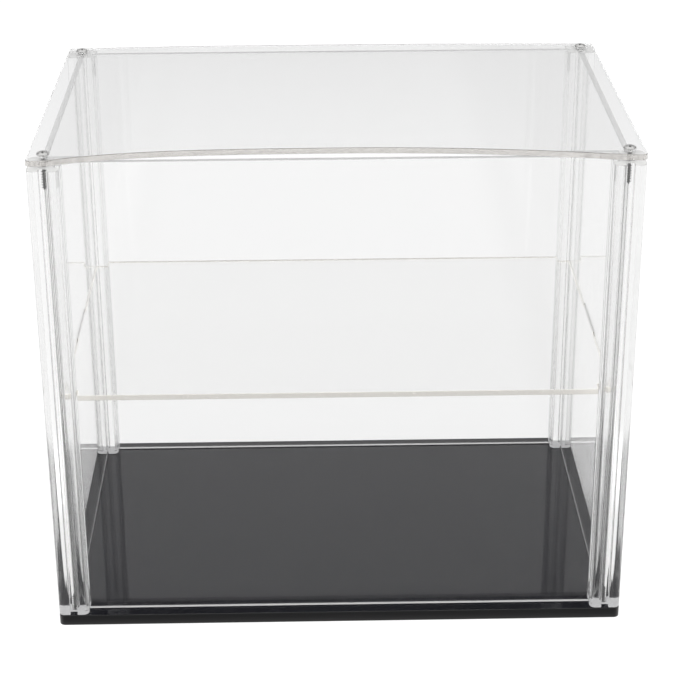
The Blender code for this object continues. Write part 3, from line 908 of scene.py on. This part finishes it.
class CASE_OT_base_screws(Operator):
    """Four countersunk screws that come up through the base into the posts"""
    bl_idname = "case.base_screws"
    bl_label = "Base screws"

    def execute(self, context):
        screws = context.scene.case_screws
        rim = BASE_SCREW_SPAN[0] / 2
        cone = rim - screws.shank
        head = screws.sunk_rim + cone
        out = np.linspace(0.02, 0.97, SUNK_ROWS)
        flat = np.stack([rim * out, np.full(SUNK_ROWS, head)], 1)
        under = np.array([(rim, screws.sunk_rim * 0.85 + cone), (rim, cone), (screws.shank, 0)])
        reach = BASE_SCREW_SPAN[2] - head
        grids = screw_rows(screws, np.concatenate([flat, under]), reach)
        for corner, place in PLACES.items():
            origin = (*place, BASE_SCREW_LOW[2] + head)
            arrays = turned_arrays(*grids, head - screws.recess_depth, -reach, origin, flip=True)
            finished(context, "base_screw_" + corner, "case", arrays, "screw_steel",
                     ("steel", "thread"), SCREW_SHARP)
        return {"FINISHED"}


# Stage

def mirror_depth(tree):
    """How often a ray was mirrored or scattered, so that the white is only seen directly."""
    path = tree.nodes.new("ShaderNodeLightPath")
    return maths(tree, "ADD", path.outputs["Glossy Depth"], path.outputs["Diffuse Depth"])


def floor_light(tree, stage):
    """Brightness of the floor: white when seen directly, in zones through the case or mirrored.

    Each step runs across an edge of a zone, in metres from the case's middle.
    """
    split = added(tree, "SeparateXYZ", {"Vector": object_coordinates(tree)})
    x, y = split.outputs["X"], split.outputs["Y"]
    across = maths(tree, "ABSOLUTE", x)

    near = step(tree, y, -0.106, -0.098, stage.front_glow, stage.side_white)
    deep = step(tree, y, -0.55, -0.32, stage.front_far, near)
    mirrored = step(tree, across, 0.145, 0.18, deep, stage.side_white)

    left = step(tree, x, -0.2, -0.13, stage.behind_left, stage.white)
    behind = step(tree, x, 0.12, 0.19, left, stage.behind_right)
    strip = step(tree, y, 0.02, 0.05, stage.corner_white, stage.beside)
    sides = step(tree, across, 0.1425, 0.1435, stage.white, strip)
    before = step(tree, y, -0.16, -0.11, stage.white, sides)
    through = step(tree, y, 0.1, 0.12, before, behind)

    path = tree.nodes.new("ShaderNodeLightPath")
    seen = step(tree, path.outputs["Transmission Depth"], 0.0, 1.0, stage.white, through)
    return step(tree, mirror_depth(tree), 0.0, 1.0, seen, mirrored)


def stage_floor(stage):
    """A large pale floor, a flat grid of whole arrays."""
    ticks = np.linspace(-stage.floor_half, stage.floor_half, FLOOR_CELLS + 1)
    grid = np.stack(np.meshgrid(ticks, ticks), -1).reshape(-1, 2)
    points = np.column_stack([grid, np.full(len(grid), -FLOOR_GAP)])
    wide = FLOOR_CELLS + 1
    first = np.arange(FLOOR_CELLS)[:, None] * wide + np.arange(FLOOR_CELLS)
    quads = np.stack([first, first + 1, first + wide + 1, first + wide], -1).reshape(-1, 4)
    mesh = fill_mesh("stage_floor", points, quads, np.zeros((0, 3), int))
    material, tree, shader = material_nodes("Stage paper")
    feed(tree, shader, {"Base Color": (*stage.floor_colour, 1), "Roughness": 0.9,
                        "Specular IOR Level": 0.1, "Emission Color": (1, 1, 1, 1),
                        "Emission Strength": floor_light(tree, stage)})
    mesh.materials.append(material)
    floor = in_scene("stage_floor", mesh)


def stage_world(stage):
    """A white backdrop behind the case up to its upper edge, and a dimmer room elsewhere.

    Only mirrors see it. Heights and depths are those of a ray's direction, and the
    backdrop's upper edge is where height over depth passes the tangent of its elevation.
    """
    world = bpy.data.worlds.new("Studio")
    world.use_nodes = True
    tree = world.node_tree
    direction = tree.nodes.new("ShaderNodeTexCoord")
    split = added(tree, "SeparateXYZ", {"Vector": direction.outputs["Generated"]})
    y, z = split.outputs["Y"], split.outputs["Z"]
    slope = maths(tree, "DIVIDE", z, y)

    wall = step(tree, z, 0.1, 0.38, stage.backdrop_low, stage.backdrop_high, "LINEAR")
    around = step(tree, y, -0.8, -0.3, stage.room, wall)
    edge = math.tan(stage.backdrop_top)
    hem = math.tan(stage.backdrop_top + stage.backdrop_hem)
    half_lit = step(tree, slope, edge - EDGE_BLUR, edge + EDGE_BLUR, around,
                    stage.backdrop_high * HEM_SHARE)
    upward = step(tree, slope, hem - EDGE_BLUR, hem + EDGE_BLUR, half_lit, stage.ceiling)
    beside = step(tree, y, 0.0, 0.4, around, upward)
    over = step(tree, z, 0.56, 0.57, beside, stage.ceiling)
    top = step(tree, z, 0.6, 0.72, over, stage.overhead)
    seen = step(tree, mirror_depth(tree), 0.0, 1.0, stage.white, top)
    feed(tree, tree.nodes["Background"], {"Color": seen, "Strength": 1.0})
    bpy.context.scene.world = world


def stage_lamp(name, power, place, width, depth):
    """A rectangular lamp that shines at the case and isn't seen itself."""
    light = bpy.data.lights.new(name, "AREA")
    light.shape = "RECTANGLE"
    light.size = width
    light.size_y = depth
    light.energy = power
    lamp = in_scene(name, light)
    lamp.visible_glossy = False
    lamp.visible_transmission = False
    turn = (Vector(LAMP_AIM) - Vector(place)).to_track_quat("-Z", "Y").to_matrix().to_4x4()
    lamp.matrix_world = Matrix.Translation(place) @ turn


def stage_camera(stage):
    """The camera that was fitted to the photograph: looking forward and down, then rolled."""
    camera = bpy.data.cameras.new("Camera")
    camera.sensor_width = 36.0
    camera.lens = stage.lens
    camera.clip_end = 50.0
    seat = in_scene("Camera", camera)
    azimuth, elevation, roll = (math.radians(angle) for angle in CAMERA_ANGLES)
    forward = Vector((-math.sin(azimuth) * math.cos(elevation),
                      math.cos(azimuth) * math.cos(elevation), -math.sin(elevation)))
    right = Vector((math.cos(azimuth), math.sin(azimuth), 0))
    up = right.cross(forward)
    level_right = math.cos(roll) * right + math.sin(roll) * up
    level_up = level_right.cross(forward)
    turn = Matrix((level_right, level_up, -forward)).transposed()
    seat.matrix_world = Matrix.Translation(CAMERA_PLACE) @ turn.to_4x4()
    return seat


class CASE_OT_stage(Operator):
    """Pale floor, soft studio light and the camera at the photograph's angle"""
    bl_idname = "case.stage"
    bl_label = "Stage"

    def execute(self, context):
        stage = context.scene.case_stage
        scene = context.scene
        stage_floor(stage)
        stage_world(stage)
        stage_lamp("Softbox", stage.softbox_power, (0.1, -0.1, 1.9), 1.6, 1.2)
        stage_lamp("Key light", stage.key_power, (-0.2, -1.5, 1.7), 1.2, 0.8)
        seat = stage_camera(stage)
        if stage.show_camera:
            scene.camera = seat
        scene.view_settings.view_transform = "Standard"
        scene.view_settings.look = "None"
        scene.cycles.use_denoising = True
        scene.cycles.max_bounces = 32
        scene.cycles.glossy_bounces = 16
        scene.cycles.transmission_bounces = 32
        scene.cycles.transparent_max_bounces = 16
        return {"FINISHED"}


class CASE_PT_sidebar(Panel):
    """Lists the builders and the sizes they read"""
    bl_idname = "CASE_PT_sidebar"
    bl_label = "Display case"
    bl_space_type = "VIEW_3D"
    bl_region_type = "UI"
    bl_category = "Display case"

    def draw(self, context):
        column = self.layout.column(align=True)
        for builder in BUILDERS:
            column.operator(builder.bl_idname)
        for name in SETTINGS:
            box = self.layout.box()
            group = getattr(context.scene, name)
            box.label(text=name.replace("_", " "))
            for label in group.bl_rna.properties.keys():
                if label not in ("rna_type", "name"):
                    box.prop(group, label)


SETTINGS = {"case_sizes": CaseSizes, "case_warp": CaseWarp, "case_screws": CaseScrews,
            "case_finish": CaseFinish, "case_stage": CaseStage}
BUILDERS = (CASE_OT_base_plate, CASE_OT_posts, CASE_OT_front_and_back, CASE_OT_shelf_unit,
            CASE_OT_lid, CASE_OT_lid_screws, CASE_OT_base_screws, CASE_OT_stage)


def register():
    """Register the settings, the builders and the sidebar."""
    for name, group in SETTINGS.items():
        bpy.utils.register_class(group)
        setattr(bpy.types.Scene, name, PointerProperty(type=group))
    for builder in BUILDERS:
        bpy.utils.register_class(builder)
    bpy.utils.register_class(CASE_PT_sidebar)


def unregister():
    """Take the sidebar, the builders and the settings out again."""
    bpy.utils.unregister_class(CASE_PT_sidebar)
    for builder in reversed(BUILDERS):
        bpy.utils.unregister_class(builder)
    for name, group in SETTINGS.items():
        delattr(bpy.types.Scene, name)
        bpy.utils.unregister_class(group)


def main():
    """Build every piece and the stage."""
    register()
    bpy.ops.case.base_plate()
    bpy.ops.case.posts()
    bpy.ops.case.front_and_back()
    bpy.ops.case.shelf_unit()
    bpy.ops.case.lid()
    bpy.ops.case.lid_screws()
    bpy.ops.case.base_screws()
    bpy.ops.case.stage()


if __name__ == "__main__":
    main()
